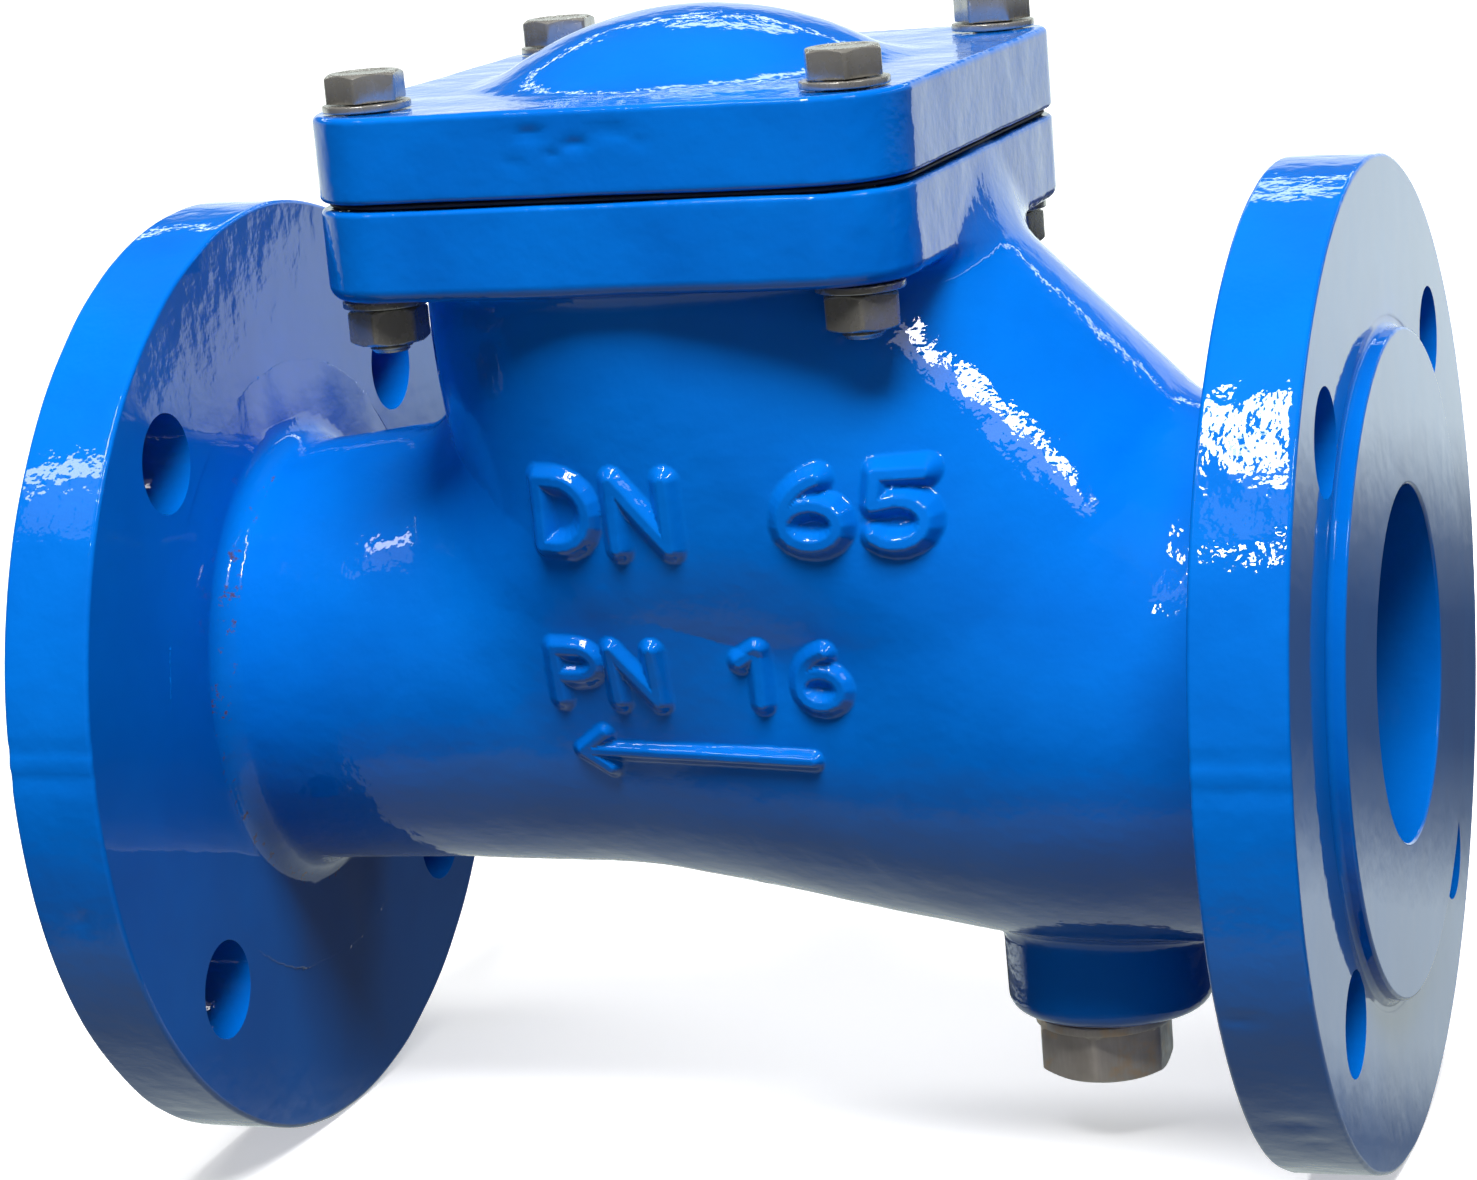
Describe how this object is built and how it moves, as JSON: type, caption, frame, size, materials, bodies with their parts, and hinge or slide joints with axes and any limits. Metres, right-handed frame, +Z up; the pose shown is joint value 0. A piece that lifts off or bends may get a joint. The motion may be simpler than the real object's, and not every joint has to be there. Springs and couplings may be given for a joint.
{
  "type": "ball check valve",
  "caption": "Flanged ball check valve: straight body with a sloping ball pocket, bolted domed cover and screwed drain plug.",
  "frame": {"origin": "on the floor under the middle of the valve, halfway between the flange faces", "axes": "+X along the pipe from the outlet flange to the inlet flange, +Z up through the cover, +Y away from the pictured side"},
  "size_m": [0.24, 0.185, 0.2187],
  "materials": {
    "blue_epoxy": "glossy blue epoxy over ductile iron",
    "gasket_rubber": "matt black",
    "ball_rubber": "smooth matt black",
    "ball_aluminium": "as turned",
    "stainless_steel": "bright stainless",
    "plug_steel": "dull, lightly tarnished",
    "sealing_fibre": "matt red-brown fibre"
  },
  "bodies": {
    "housing": {"valve_body": "blue_epoxy", "cover": "blue_epoxy", "cover_gasket": "gasket_rubber", "cover_bolt_1": "stainless_steel", "cover_bolt_2": "stainless_steel", "cover_bolt_3": "stainless_steel", "cover_bolt_4": "stainless_steel", "bolt_washer_1": "stainless_steel", "bolt_washer_2": "stainless_steel", "bolt_washer_3": "stainless_steel", "bolt_washer_4": "stainless_steel", "cover_nut_1": "stainless_steel", "cover_nut_2": "stainless_steel", "cover_nut_3": "stainless_steel", "cover_nut_4": "stainless_steel", "nut_washer_1": "stainless_steel", "nut_washer_2": "stainless_steel", "nut_washer_3": "stainless_steel", "nut_washer_4": "stainless_steel"},
    "ball": {"ball_lining": "ball_rubber", "ball_core": "ball_aluminium", "ball_pin_plug": "ball_rubber"},
    "seal": {"drain_seal": "sealing_fibre"},
    "plug": {"drain_plug": "plug_steel"}
  },
  "joints": [
    {"name": "ball_travel", "type": "slide", "parent": "housing", "child": "ball", "axis": [-0.7071, 0, 0.7071], "range_m": [0, 0.1012]},
    {"name": "plug_turn", "type": "hinge", "parent": "housing", "child": "seal", "pos_m": [0.0586, 0, 0.02], "axis": [0, 0, -1], "range_deg": [0, 2520]},
    {"name": "plug_unscrew", "type": "slide", "parent": "seal", "child": "plug", "axis": [0, 0, -1], "range_m": [0, 0.0127]}
  ],
  "couplings": [
    {"joint": "plug_unscrew", "follows": "plug_turn", "m_per_rad": 0.00028871}
  ]
}
